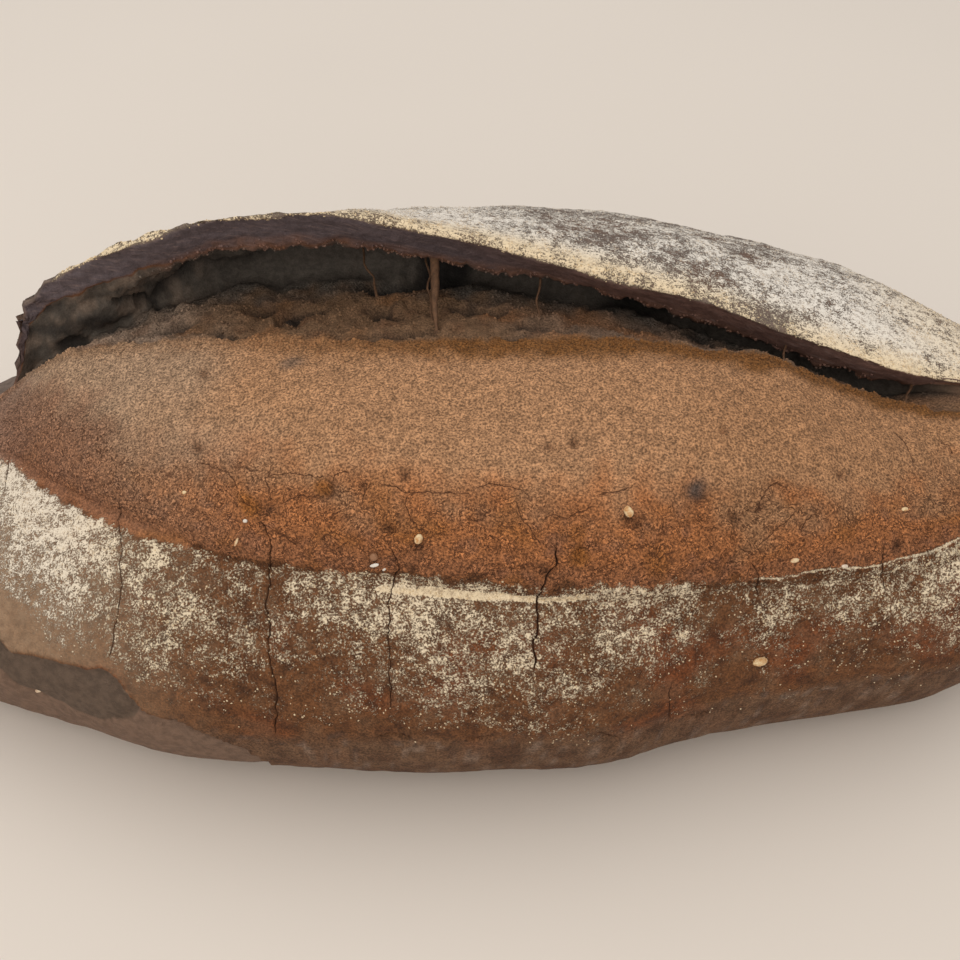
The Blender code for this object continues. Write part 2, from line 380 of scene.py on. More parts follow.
# hairlines where the bloom's skin folded: (x, height above the flour line) along each
bloomHairlines = [
    [(-45.4, 16.8), (-42.1, 16.6), (-39.1, 16.2), (-38.2, 15.0), (-37.1, 14.1)],
    [(-37.5, 17.8), (-35.6, 18.7), (-32.9, 19.6)],
    [(-30.8, 20.8), (-31.5, 19.2), (-31.6, 17.6), (-31.1, 16.4), (-30.6, 15.0)],
    [(-31.0, 18.9), (-27.0, 19.0), (-24.9, 18.4), (-21.2, 18.4)],
    [(-36.6, 12.8), (-35.8, 12.0), (-34.9, 12.6)],
    [(-28.6, 13.3), (-27.2, 13.8), (-26.2, 14.7), (-23.4, 14.4), (-21.8, 14.9)],
    [(-19.5, 18.2), (-19.0, 19.3), (-18.0, 19.9), (-16.8, 19.7)],
    [(-18.1, 16.0), (-16.0, 16.3)],
    [(-14.2, 14.1), (-13.6, 17.0), (-12.6, 18.6)],
    [(-10.6, 19.2), (-8.1, 18.9), (-6.1, 17.7), (-2.5, 17.1), (1.9, 17.7), (4.6, 17.8)],
    [(-32.1, 9.0), (-28.8, 7.5), (-26.2, 5.5)],
    [(-5.9, 17.0), (-6.4, 15.7), (-5.4, 12.5), (-4.4, 11.2)],
    [(6.2, 19.4), (8.8, 20.1), (11.0, 20.0), (14.0, 19.6), (15.5, 18.6)],
    [(13.1, 16.7), (14.1, 14.2), (15.8, 12.3), (17.0, 10.8)],
    [(17.9, 14.9), (19.1, 16.5), (22.1, 15.6), (25.1, 16.8), (26.6, 17.5)],
    [(27.5, 19.9), (32.0, 20.7), (33.4, 21.4)],
    [(8.8, 15.8), (7.9, 14.2), (6.5, 13.0), (4.6, 13.1)],
    [(39.0, 14.9), (39.2, 12.8)],
    [(56.5, 16.2), (57.1, 18.0), (58.1, 19.4), (59.6, 20.4), (61.1, 20.6), (62.5, 19.8)],
    [(88.3, 29.3), (89.4, 27.6), (90.1, 25.4), (90.4, 21.7)],
    [(98.6, 25.3), (99.6, 23.5), (100.2, 21.4)],
    [(53.4, 9.5), (56.2, 8.2)],
    [(65.1, 11.5), (65.9, 13.0), (68.4, 14.4)],
    [(57.1, 10.2), (60.0, 12.0), (62.4, 13.3), (63.8, 14.6)],
]


# short cracks and a ledge low on the front, the same way
wallFolds = [
    [(-50, -35.5), (-46.5, -37.0), (-43.5, -37.4)],
    [(-12, -32.6), (-9, -31.8), (-6.5, -32.4)],
    [(4.5, -31.6), (8.5, -31.0)],
    [(29, -29.2), (32, -31.4), (36, -32.5)],
    [(45.5, -28.6), (50, -28.0)],
]


def nearestFold(folds, x, rise):
    # signed distance to the nearest fold, and how far beyond its end a point lies
    nearest = np.full(x.shape, 99.0)
    side, beyond = nearest.copy(), nearest.copy()
    spot = x + 1j * rise
    for fold in folds:
        ends = [complex(*point) for point in fold]
        for a, b in zip(ends, ends[1:]):
            turned = (spot - a) * np.conj(b - a) / abs(b - a)
            past = np.maximum(np.maximum(-turned.real, turned.real - abs(b - a)), 0)
            away = np.hypot(past, turned.imag)
            closer = away < nearest
            nearest = np.where(closer, away, nearest)
            side = np.where(closer, np.copysign(away, turned.imag), side)
            beyond = np.where(closer, past, beyond)
    return side, beyond


def foldMask(folds, x, rise, half):
    # from 1 on a fold to 0 at half millimetres beside it
    return 1 - ease(0.0, half, np.abs(nearestFold(folds, x, rise)[0]))


def bloomCreases(points, rise):
    # irregular crevices of the lower bloom, where the skin tore a little as it swelled
    upright = (1.5, 1.0, 0.75)
    patches = ease(-0.15, 0.45, lumps(points, 10, 71)) * ease(24, 13, rise)
    broad = 1 - ease(0.0, 0.13, np.abs(lumps(points, 7, 70, upright)))
    narrow = 1 - ease(0.0, 0.16, np.abs(lumps(points, 3.2, 72, upright)))
    return np.maximum(broad, 0.7 * narrow) * patches


# the hollow's floor: each hole as (x, height above the flour line, half-length, half-width)
caveHolesAt = [(-45, 49.5, 6.0, 2.2), (-13, 68, 5.0, 3.0), (-66.5, 60.5, 4.5, 2.0), (-31, 66, 7, 4),
               (22, 66, 9, 3.0), (44, 62, 8, 2.6), (6, 72, 7, 3)]


def caveHoles(points, x, rise):
    # 1 in the floor's holes and 0 beside them
    hole = ease(0.30, 0.75, lumps(points, 8, 13, (0.55, 1.2, 1.2)))
    ragged = 0.35 * lumps(points, 2.4, 27)
    for holeX, holeRise, halfLength, halfWidth in caveHolesAt:
        away = np.hypot((x - holeX) / halfLength, (rise - holeRise) / halfWidth) + ragged
        hole = np.maximum(hole, 1 - ease(0.6, 1.1, away))
    return hole


def crustRelief(points, x, place, rise, behind, size):
    # how far the crust stands out from the smooth form, in millimetres
    foot = band(0.35, 8.0, 0.3, place)
    wall = band(0.5, 2.0, 0.05, place)
    bloom = band(2.0, 3.0, 0.05, place) * size["bloom"]
    cave = band(3.06, 4.95, 0.06, place) * size["hollow"]
    face = band(5.05, 5.95, 0.05, place) * size["hollow"]
    back = band(6.05, 8.0, 0.1, place)
    low = bloom * (1 - ease(13, 24, rise + 4 * lumps(points, 14, 3)))

    height = foot * (0.8 * lumps(points, 36, 1) + 0.4 * lumps(points, 15, 2)) * (1 - 0.5 * cave)
    height += wall * (0.24 * lumps(points, 7, 4, (1, 1, 1.6)) + 0.10 * lumps(points, 2.6, 5))
    height += bloom * (0.30 * lumps(points, 9, 6) + 0.16 * lumps(points, 3.2, 7)
                       + 0.12 * lumps(points, 1.5, 8))
    wrinkle = 1 - np.abs(lumps(points, 3.0, 9, (1.6, 1, 0.8)))
    height += low * (0.40 * wrinkle ** 2 - 0.2)
    torn = (1.2 * lumps(points, 6.5, 10, (0.8, 1, 1)) + 0.95 * lumps(points, 2.6, 11)
            + 0.6 * lumps(points, 1.4, 12))
    hole = caveHoles(points, x, rise)
    thick = mix(0.25, 1.0, ease(-92, -68, x)) * mix(0.5, 1.0, ease(105, 80, x))
    roof = np.sin(math.pi * np.clip(place - 3.75, 0, 1.25) / 1.25) ** 1.2 * size["hollow"]
    height += cave * (0.7 * torn - 2.6 * hole) * thick
    height -= roof * ease(-78, -42, x) * thick * (4.5 + 1.5 * lumps(points, 12, 26))
    stroke = lumps(points, 1.6, 14, (0.30, 1, 1.25))
    height += face * (0.35 * lumps(points, 9, 15) + 0.13 * stroke)
    height += back * (0.30 * lumps(points, 11, 16) + 0.12 * lumps(points, 3.5, 17)
                      + 0.16 * lumps(points, 1.6, 28))
    lip = np.exp(-((behind - 0.8) / 1.6) ** 2) * size["hollow"]
    height += lip * (0.4 * lumps(points, 3.2, 18) + 0.25 * lumps(points, 1.4, 19))

    for markX, markRise, radius in crustMarks["pits"]:
        away = np.hypot(x - markX, rise - markRise) / radius
        height -= crustMarks["pitDepth"] * np.exp(-away ** 2)
    for markX, markRise, radius in crustMarks["bumps"]:
        away = np.hypot(x - markX, rise - markRise) / radius
        height += crustMarks["bumpHeight"] * np.exp(-away ** 2)
    for markX, markRise, radius, rim in crustMarks["rings"]:
        away = np.hypot(x - markX, rise - markRise)
        away += 0.12 * radius * lumps(points, 3, 20)
        height += rim * np.exp(-((away - radius) / 0.6) ** 2)
        height -= 0.4 * rim * np.exp(-((away - radius + 1.3) / 0.6) ** 2)
    height -= 0.35 * foldMask(bloomHairlines, x, rise, 0.8) * bloom
    height -= 0.8 * foldMask(wallFolds, x, rise, 0.7) * wall
    height -= 0.45 * bloomCreases(points, rise) * bloom
    height -= 0.7 * ease(-0.1, 0.5, underLedge(x, rise)) * (place < 1.8)
    height -= 0.5 * np.exp(-(nearestFold([tuckGroove], x, rise)[0] / 0.9) ** 2) * (place < 1.8)
    height -= 1.2 * band(3.12, 3.95, 0.08, place) * ease(0, 30, x) * size["hollow"] * thick
    mask, deep = crackMask(x, rise)
    return height - deep


def raggedEdges(points, place, size):
    # tears the ear's lower edge, the bloom's ridge and the ear's far left end
    moved = points.copy()
    torn = np.exp(-((place - 5.0) / 0.16) ** 2) * size["hollow"]
    ridge = np.exp(-((place - 3.03) / 0.05) ** 2) * size["hollow"]
    line = points * np.array((1, 0.2, 0.2))
    moved[:, 2] += torn * (0.9 * lumps(line, 4.5, 21) + 0.7 * lumps(line, 1.5, 22))
    moved[:, 2] += ridge * (0.6 * lumps(line, 3.1, 23) + 0.5 * lumps(line, 1.4, 24))
    end = ease(-76, -84, points[:, 0]) * band(5.2, 6.05, 0.2, place) * size["hollow"]
    teeth = (points[:, 2] / 5.2 + 0.3 * lumps(line, 9, 25)) % 1
    moved[:, 0] -= end * 2.8 * (teeth ** 2 - 0.3)
    return moved


# ---- colours of the crust, as they are under even light; the crumb, bloom edge, pit, hole and crease tones also carry painted shade ----

crustTones = {
    "wall": tone(106, 68, 40),
    "wallRed": tone(114, 64, 34),
    "wallAsh": tone(110, 88, 68),
    "wallDark": tone(72, 44, 27),
    "bloomTop": tone(174, 130, 94),
    "bloomLeft": tone(168, 138, 111),
    "bloomRight": tone(166, 122, 86),
    "bloomLow": tone(172, 110, 66),
    "bloomMauve": tone(138, 94, 70),
    # painted shade where the bloom's lower edge turns down to the flour line
    "bloomEdgeShade": tone(140, 94, 66),
    "amber": tone(156, 98, 46),
    "ridge": tone(118, 78, 40),
    # crumb: the hollow's crumb, painted darker than its own colour as shade from the ear above it
    "crumb": tone(118, 90, 66),
    "crumbLeft": tone(152, 130, 112),
    "crumbRight": tone(118, 94, 76),
    "caveRoof": tone(92, 84, 76),
    # hole: painted shade, near black, in the hollow's holes and pockets
    "hole": tone(30, 28, 27),
    "rim": tone(128, 96, 82),
    "cutFace": tone(98, 88, 91),
    "cutFaceRight": tone(126, 94, 82),
    "back": tone(110, 94, 84),
    "tuck": tone(96, 79, 66),
    "tuckLow": tone(118, 94, 78),
    "ash": tone(160, 142, 128),
    "baseBand": tone(106, 80, 60),
    "under": tone(104, 72, 46),
    # creaseShade: painted shade in creases and cracks
    "creaseShade": tone(66, 40, 25),
    # pitShadeAndMottle: painted shade in pits, and random darker patches in the hollow
    "pitShadeAndMottle": tone(86, 55, 35),
    "greyPit": tone(86, 78, 72),
}


def paintCrust(points, x, place, rise, behind, size):
    # lays the bake's colours on the skin, one over the other, with painted shade in the hollow, pits,
    # creases, cracks and along the bloom's lower edge
    def lay(name, share, colour):
        return mix(colour, np.array(crustTones[name]), np.clip(share, 0, 1)[:, None])

    soft = lumps(points, 13, 30)
    fine = lumps(points, 4.2, 31)
    tiny = lumps(points, 1.7, 32)
    colour = np.tile(crustTones["wall"], (len(x), 1))
    wall = band(0.6, 2.0, 0.2, place)
    colour = lay("wallRed", wall * ease(0.0, 0.7, soft), colour)
    colour = lay("wallAsh", wall * ease(-0.1, 0.8, fine + soft * 0.5) * 0.3, colour)
    colour = lay("wallDark", wall * ease(0.0, 0.8, 0.7 * tiny - 0.6 * fine) * 0.7, colour)

    edge = 0.02 * tiny
    bloom = ease(-0.6, 0.6, rise - flourEdge(x) + 1.3 * fine) * (place < 3.5) * (place > 1.5)
    top = ease(9, 27, rise + 4.5 * fine + 5 * soft)
    colour = lay("bloomLow", bloom, colour)
    colour = lay("bloomMauve", bloom * (1 - top) * ease(0.0, 0.8, fine + 0.6 * tiny) * 0.6, colour)
    # painted shade along the bloom's lowest few millimetres, where it bulges over the flour line
    colour = lay("bloomEdgeShade", bloom * (1 - ease(3, 9, rise + 2 * fine)) * 0.6, colour)
    colour = lay("amber", bloom * (1 - top) * ease(0.15, 0.8, lumps(points, 6, 33)) * 0.55, colour)
    colour = lay("bloomTop", bloom * top, colour)
    # painted shade in the lower bloom's creases
    colour = lay("creaseShade", 0.25 * bloomCreases(points, rise) * bloom, colour)
    colour = lay("bloomLeft", bloom * ease(-28, -66, x + 8 * soft) * ease(-8, 22, rise) * 0.9, colour)
    colour = lay("bloomRight", bloom * top * ease(25, 60, x + 8 * soft), colour)
    colour = lay("ash", (place < 3.3) * ease(-80, -102, x) * 0.75, colour)
    left = bloom * ease(-52, -76, x + 6 * soft) * (1 - ease(14, 26, rise + 4 * fine))
    colour = lay("bloomMauve", left * 0.55, colour)
    ridgeEdge = ease(2.90, 2.985, place + 0.02 * fine) * bloom * size["bloom"]
    colour = lay("ridge", ridgeEdge * ease(-60, 30, x) * 0.9 + 0.3 * ridgeEdge, colour)

    cave = band(3.03, 5.02, 0.025, place + edge) * size["hollow"]
    # the hollow's crumb tone, which also carries painted shade from the ear
    colour = lay("crumb", cave, colour)
    colour = lay("crumbLeft", cave * ease(-40, -75, x + 10 * soft), colour)
    colour = lay("crumbRight", cave * ease(2, 30, x + 8 * soft) * ease(3.04, 3.10, place), colour)
    # random darker patches of the hollow's crumb
    colour = lay("pitShadeAndMottle", cave * ease(0.0, 0.9, fine) * 0.5, colour)
    colour = lay("amber", cave * ease(0.2, 0.9, soft) * 0.35, colour)
    colour = lay("caveRoof", cave * ease(3.5, 3.95, place + 0.12 * fine), colour)
    leftRoof = cave * ease(3.5, 4.0, place + 0.3 * fine) * ease(-46, -62, x + 5 * soft)
    colour = lay("crumbLeft", leftRoof * ease(-0.5, 0.7, fine + 0.8 * tiny) * 0.45, colour)
    # painted shade: near-black pockets in the left of the hollow's roof
    colour = lay("hole", leftRoof * ease(0.0, 0.9, lumps(points, 5, 34, (0.6, 1, 1))) * 0.7, colour)
    # painted shade in the floor's holes
    colour = lay("hole", cave * caveHoles(points, x, rise) * 0.85, colour)

    face = band(5.12, 6.0, 0.06, place + 0.05 * fine) * size["hollow"]
    colour = lay("cutFace", face, colour)
    colour = lay("cutFaceRight", face * ease(-10, 40, x + 6 * soft) * 0.8, colour)
    rim = band(4.9, 5.3, 0.08, place + 0.08 * fine + 0.05 * tiny) * size["hollow"]
    colour = lay("rim", rim * ease(-66, -50, x) * (0.6 + 0.4 * tiny), colour)

    back = (place > 5.98) * (place < 8.2)
    colour = lay("back", back * 1.0, colour)
    colour = lay("wall", back * ease(0.1, 0.7, soft) * 0.4, colour)
    base = np.maximum(ease(1.14, 1.0, place + 0.05 * soft), ease(7.9, 8.1, place))
    colour = lay("baseBand", base * 0.8, colour)
    colour = lay("wallDark", base * ease(-0.1, 0.7, fine + 0.5 * tiny) * 0.7, colour)
    colour = lay("ash", base * ease(0.3, 1.0, tiny - 0.4 * fine) * 0.25, colour)
    under = np.maximum(ease(0.45, 0.1, place), ease(7.7, 8.0, place))
    colour = lay("under", under, colour)

    # painted shade in each pit
    for markX, markRise, radius in crustMarks["pits"]:
        away = np.hypot(x - markX, rise - markRise) / radius
        colour = lay("pitShadeAndMottle", 0.9 * np.exp(-away ** 2), colour)
    away = np.hypot(x - 45.5, rise - 20.4) / 1.9
    colour = lay("greyPit", 0.8 * np.exp(-away ** 2), colour)
    away = np.hypot(x + 29.5, (rise - 45) * 1.5) / 2.6
    colour = lay("greyPit", 0.6 * np.exp(-away ** 4), colour)
    for spotX, spotRise, radius in ((24.1, 8.5, 2.0), (-21.4, 16.4, 1.6), (-35, 12.2, 2.2)):
        away = np.hypot(x - spotX, rise - spotRise) / radius
        colour = lay("amber", 0.9 * np.exp(-away ** 4), colour)
    mask, deep = crackMask(x, rise)
    # painted shade in the cracks
    return lay("creaseShade", mask, colour)


# the smooth underside that shows low on the left, where the loaf lay in its basket: the
# ledge above it and the groove across it, as (x, height from the flour line)
tuckLedge = [(-143, -30), (-112, -38), (-100, -40), (-86, -39), (-80, -36), (-73, -33.5),
             (-67, -31.6), (-62, -30.8), (-59, -32), (-57.5, -34.6), (-54, -36), (-49.5, -35.6),
             (-44.5, -36.7), (-41.5, -38), (-38, -41), (-30, -60), (143, -60)]
tuckGroove = [(-105, -49), (-88, -48), (-79, -45.3), (-71, -45.7), (-64, -44), (-59, -41),
              (-56, -33)]


def underLedge(x, rise):
    # how far below the ledge a point lies, within 3 mm either way
    return np.clip(along(tuckLedge, x) - rise, -3, 3)


# ---- flour: how thickly it lies, before the grains are drawn ----

flourLie = {
    # how much of the crust is covered, as (x, share), at three heights down the front
    "frontUpper": [(-143, 0.3), (-125, 0.5), (-100, 0.72), (-88, 0.76), (-75, 0.74), (-65, 0.66),
                   (-58, 0.56), (-50, 0.46), (-40, 0.40), (-32, 0.44), (-24, 0.48), (-14, 0.50),
                   (-5, 0.54), (5, 0.50), (15, 0.44), (24, 0.46), (36, 0.50), (44, 0.44),
                   (50, 0.28), (56, 0.42), (62, 0.46), (68, 0.30), (76, 0.42), (86, 0.48),
                   (96, 0.56), (108, 0.62), (125, 0.5), (143, 0.3)],
    "frontMiddle": [(-143, 0.3), (-110, 0.45), (-92, 0.58), (-76, 0.64), (-64, 0.56), (-54, 0.52),
                    (-44, 0.44), (-35, 0.36), (-26, 0.30), (-18, 0.32), (-10, 0.41), (0, 0.46),
                    (10, 0.46), (20, 0.42), (30, 0.34), (38, 0.28), (46, 0.22), (60, 0.25),
                    (72, 0.20), (84, 0.22), (96, 0.32), (110, 0.4), (143, 0.3)],
    "frontLower": [(-143, 0.2), (-100, 0.34), (-85, 0.42), (-72, 0.44), (-60, 0.42), (-52, 0.38),
                   (-44, 0.30), (-32, 0.23), (-20, 0.22), (-10, 0.30), (2, 0.35), (14, 0.33),
                   (26, 0.24), (38, 0.15), (60, 0.10), (80, 0.11), (96, 0.17), (112, 0.3),
                   (143, 0.2)],
    "frontHeights": (-6.0, -16.0, -25.0),
    "frontEnds": (-34.0, -25.0),
    # the same from the ear's lip back: on the lip, behind it and over the top
    "backLip": [(-143, 0.3), (-97, 0.6), (-66, 0.72), (-56, 0.56), (-48, 0.40), (-36, 0.40), (-24, 0.54),
                (0, 0.66), (15, 0.70), (30, 0.66), (44, 0.56), (54, 0.46), (66, 0.50), (76, 0.64),
                (90, 0.76), (110, 0.76), (143, 0.4)],
    "backMiddle": [(-143, 0.3), (-97, 0.5), (-30, 0.66), (0, 0.74), (12, 0.54), (24, 0.43),
                   (40, 0.45), (55, 0.51), (66, 0.59), (80, 0.69), (100, 0.72), (120, 0.62),
                   (143, 0.3)],
    "backTop": [(-143, 0.2), (-97, 0.45), (-30, 0.62), (0, 0.64), (12, 0.54), (25, 0.46),
                (45, 0.46), (60, 0.48), (80, 0.54), (100, 0.58), (143, 0.3)],
    "backHeights": (3.0, 16.0, 38.0),
    # the line where the front flour ends, above (+) or below the form's own edge
    "edge": [(-143, 0), (-89, -1.7), (-66, -2.9), (-55, -2.1), (-45, 0.3), (-31, 1.2),
             (-18, 1.1), (-4, 2.0), (10, 2.4), (21, 3.0), (37, 4.0), (58, 2.2), (65, 3.3),
             (89, 3.6), (112, 4), (143, 0)],
}


def flourEdge(x):
    return along(flourLie["edge"], x)


def readZones(names, heights, x, away):
    # blends the cover read from three lines by how far a point is from each
    first, second, third = (along(flourLie[name], x) for name in names)
    upper = mix(first, second, ease(heights[0], heights[1], away))
    return mix(upper, third, ease(heights[1], heights[2], away))


def frontFlour(points, x, place, rise):
    names = ("frontUpper", "frontMiddle", "frontLower")
    cover = readZones(names, flourLie["frontHeights"], x, rise)
    cover = cover + 0.10 * lumps(points, 6, 40) + 0.07 * lumps(points, 2.4, 41)
    cover *= ease(0.6, -0.6, rise - flourEdge(x) + 0.9 * lumps(points, 2.2, 42))
    cover *= ease(*flourLie["frontEnds"], rise + 2.5 * lumps(points, 8, 43)) * (place > 0.6)
    cover *= ease(0.0, -0.8, underLedge(x, rise))
    return np.clip(cover, 0, 1) * (place < 3)


# thick cream-coloured lines along the flour's upper edge: (x, height above the flour line)
creamLines = [
    {"line": [(-12, -1.3), (1, -1.2), (10, -0.6), (21, 0.3), (26, 1.0)], "half": 0.85, "thick": 1.5},
    {"line": [(26, 1.0), (35, 1.5), (48, 0.9)], "half": 0.7, "thick": 0.7},
    {"line": [(56, 2.4), (69, 3.3), (77, 3.5), (91, 3.2), (95, 3.8), (128, 4)], "half": 0.3,
     "thick": 0.9},
    {"line": [(50, -0.3), (73, 0), (79, 0.7), (100, 1.5)], "half": 0.5, "thick": 0.6},
    {"line": [(-26, -0.5), (-18, -0.6), (-13, -1.6)], "half": 0.7, "thick": 0.6},
]


def creamBands(points, x, rise):
    cream = np.zeros_like(x)
    wander = 0.25 * lumps(points, 7, 44)
    for stripe in creamLines:
        line = stripe["line"]
        across = np.exp(-((rise - along(line, x) + wander) / stripe["half"]) ** 2)
        cream += stripe["thick"] * across * band(line[0][0], line[-1][0], 2, x)
    return np.minimum(cream, 1.2)


def backFlour(points, x, place, behind):
    # thick on the lip and on the shoulder to the right, with the crust showing in patches
    names = ("backLip", "backMiddle", "backTop")
    cover = readZones(names, flourLie["backHeights"], x, behind)
    cover = cover + 0.06 + 0.14 * lumps(points, 7, 45) + 0.12 * lumps(points, 2.6, 46)
    cover *= 1 - 0.75 * ease(45, 85, behind)
    cover *= ease(-86, -74, x + 2 * lumps(points, 3, 47)) * (behind < 30) + (behind >= 30)
    return np.clip(cover, 0, 1) * (place > 5.97) * (place < 7.9)


def buildCrust():
    columns, ring = sectionPlaces(), ringPlaces()
    x, place = np.meshgrid(columns, ring, indexing="ij")
    plain = loafSurface(x.ravel(), place.ravel()).reshape(*x.shape, 3)
    rise = measureRise(plain, place, 2.0)
    bent = bendToCracks(x, rise)
    reach = loafForm["halfLength"]
    bent = np.clip(bent, -reach, reach)
    points = loafSurface(bent.ravel(), place.ravel()).reshape(*x.shape, 3)
    rise = measureRise(points, place, 2.0)
    behind = measureRise(points, place, 6.0)
    normals = outwardNormals(points)

    flatX, flatPlace = bent.ravel(), place.ravel()
    flatRise, flatBehind = rise.ravel(), behind.ravel()
    flatPoints = points.reshape(-1, 3)
    size = sectionSizes(flatX)
    atColumn = x.ravel()
    print("crust: relief")
    height = crustRelief(flatPoints, atColumn, flatPlace, flatRise, flatBehind, size)
    tip = ease(0.0, 0.35, size["fullness"])
    moved = raggedEdges(flatPoints, flatPlace, size)
    moved += normals.reshape(-1, 3) * (height * tip)[:, None]
    moved[:, 2] = np.maximum(moved[:, 2], 0.0)
    print("crust: colour and flour")
    colour = paintCrust(flatPoints, flatX, flatPlace, flatRise, flatBehind, size)
    crack, deep = crackMask(atColumn, flatRise)
    cream = creamBands(flatPoints, flatX, flatRise)
    front = np.maximum(frontFlour(flatPoints, flatX, flatPlace, flatRise), cream)
    flour = np.maximum(front, backFlour(flatPoints, flatX, flatPlace, flatBehind)) * (1 - crack)
    bloom = band(2.0, 3.02, 0.03, flatPlace) * size["bloom"]
    lowBloom = bloom * (1 - ease(13, 24, flatRise + 4 * lumps(flatPoints, 14, 3)))
    creamy = np.maximum(cream, np.exp(-(flatBehind / 7) ** 2) * (flatPlace > 5.9))
    creamy = np.maximum(creamy, (flatPlace < 3) * mix(0.45, 0.85, ease(-80, -50, flatX)))
    creamy = np.maximum(creamy, 0.6 * (flatPlace > 5.9) * ease(84, 112, flatX))
    veil = 0.55 * ease(-38, -80, flatX) * ease(0.4, -2.5, flatRise - flourEdge(flatX))
    veil = np.maximum(veil * (flatPlace > 0.5), ease(0.35, 1.0, flour) * 0.4)
    veil *= np.where(flatPlace < 2, ease(0.0, -0.8, underLedge(flatX, flatRise)), 1)
    foldSide, beyond = nearestFold(bloomHairlines + wallFolds, flatX, flatRise)
    heaps = ease(-0.2, 0.7, lumps(flatPoints, 2.2, 60) + 0.5 * lumps(flatPoints, 6, 61))
    fringe = np.exp(-((flatPlace - 3.02) / 0.05) ** 2) + 0.2 * band(3.1, 3.8, 0.1, flatPlace)
    fringe += 0.6 * np.exp(-((flatPlace - 5.06) / 0.12) ** 2) * ease(-66, -50, flatX)
    fields = {
        "flour": flour,
        "creamy": creamy,
        "heapFront": flour ** 1.5 * (0.1 + heaps) * (flatPlace < 3),
        "heapBack": flour ** 1.5 * (0.1 + heaps) * (flatPlace > 5) * (flatBehind < 70),
        "crumbly": fringe * size["hollow"] * (0.3 + heaps),
        "grit": np.maximum(bloom, 0.2 + 0.5 * (flatPlace < 3.9)),
        "veil": veil,
        "wrinkle": lowBloom,
        "cutFace": band(5.1, 5.98, 0.06, flatPlace) * size["hollow"],
        "crack": crack,
        "hairlineSide": np.clip(foldSide, -3, 3),
        "hairlineHold": (1 - ease(0.8, 1.4, np.abs(foldSide))) * (1 - ease(0.0, 0.7, beyond)),
        "underLedge": np.where(flatPlace < 1.8, underLedge(flatX, flatRise), -3),
        "belowGroove": np.clip(along(tuckGroove, flatX) - flatRise, -3, 3),
    }

    work = bmesh.new()
    nx, ny = len(columns) - 1, len(ring) - 1
    bmesh.ops.create_grid(work, x_segments=nx, y_segments=ny, size=1)
    layers = {name: work.verts.layers.float.new(name) for name in fields}
    colourLayer = work.verts.layers.float_color.new("bake")
    for vert in work.verts:
        i = round((vert.co.x + 1) / 2 * nx)
        j = round((vert.co.y + 1) / 2 * ny)
        k = i * (ny + 1) + j
        vert.co = moved[k] * mm
        vert[colourLayer] = (*colour[k], 1)
        for name, layer in layers.items():
            vert[layer] = fields[name][k]
    bmesh.ops.remove_doubles(work, verts=work.verts, dist=1e-7)
    work.verts.ensure_lookup_table()
    ends = [[v for v in work.verts if abs(v.co.x - side * reach * mm) < 1e-5] for side in (-1, 1)]
    for tipVerts in ends:
        middle = sum((v.co for v in tipVerts), Vector()) / len(tipVerts)
        bmesh.ops.pointmerge(work, verts=tipVerts, merge_co=middle)
    bmesh.ops.dissolve_degenerate(work, dist=1e-8, edges=work.edges)
    bmesh.ops.recalc_face_normals(work, faces=work.faces)
    crust = finishPiece("crust", work)
    crust.data.materials.append(crustMaterial())
    print("crust:", len(crust.data.polygons), "faces")
    return crust, {"points": moved.reshape(points.shape), "normals": normals, "rise": rise,
                   "x": bent, "place": place}


def finishPiece(name, work, smooth=True):
    mesh = bpy.data.meshes.new(name)
    work.to_mesh(mesh)
    work.free()
    if smooth:
        mesh.shade_smooth()
    piece = bpy.data.objects.new(name, mesh)
    bpy.context.scene.collection.objects.link(piece)
    return piece


# ---- shader helpers ----

def newNode(tree, kind, sockets=None, **settings):
    node = tree.nodes.new(kind)
    for name, value in settings.items():
        setattr(node, name, value)
    for key, value in (sockets or {}).items():
        if isinstance(value, bpy.types.NodeSocket):
            tree.links.new(value, node.inputs[key])
        else:
            node.inputs[key].default_value = value
    return node


def readField(tree, name, output="Fac"):
    return newNode(tree, "ShaderNodeAttribute", attribute_name=name).outputs[output]


def grain(tree, where, sizeMm, detail=2.0, rough=0.5, distortion=0.0):
    node = newNode(tree, "ShaderNodeTexNoise", {"Vector": where, "Scale": 1000 / sizeMm,
                   "Detail": detail, "Roughness": rough, "Distortion": distortion})
    return node.outputs["Fac"]


def calc(tree, operation, a, b=0.0, clamp=False):
    node = newNode(tree, "ShaderNodeMath", {0: a, 1: b}, operation=operation, use_clamp=clamp)
    return node.outputs[0]


def weigh(tree, *parts):
    # the sum of (value, weight) pairs
    total = 0.0
    for value, weight in parts:
        total = newNode(tree, "ShaderNodeMath", {0: value, 1: weight, 2: total},
                        operation="MULTIPLY_ADD").outputs[0]
    return total


def stretch(tree, value, low, high, newLow=0.0, newHigh=1.0):
    node = newNode(tree, "ShaderNodeMapRange", {"Value": value, "From Min": low, "From Max": high,
                   "To Min": newLow, "To Max": newHigh}, interpolation_type="SMOOTHSTEP")
    return node.outputs["Result"]


def layer(tree, share, under, over, mode="MIX"):
    node = newNode(tree, "ShaderNodeMix", {0: share, 6: under, 7: over}, data_type="RGBA",
                   blend_type=mode)
    return node.outputs[2]


def scaled(tree, colour, factor):
    node = newNode(tree, "ShaderNodeVectorMath", {0: colour, "Scale": factor}, operation="SCALE")
    return node.outputs[0]


def opaque(colour):
    return (*colour, 1.0)


def newMaterial(name, roughness, specular):
    material = bpy.data.materials.new(name)
    material.use_nodes = True
    tree = material.node_tree
    shader = tree.nodes["Principled BSDF"]
    shader.inputs["Roughness"].default_value = roughness
    shader.inputs["Specular IOR Level"].default_value = specular
    where = newNode(tree, "ShaderNodeTexCoord").outputs["Object"]
    return material, tree, shader, where


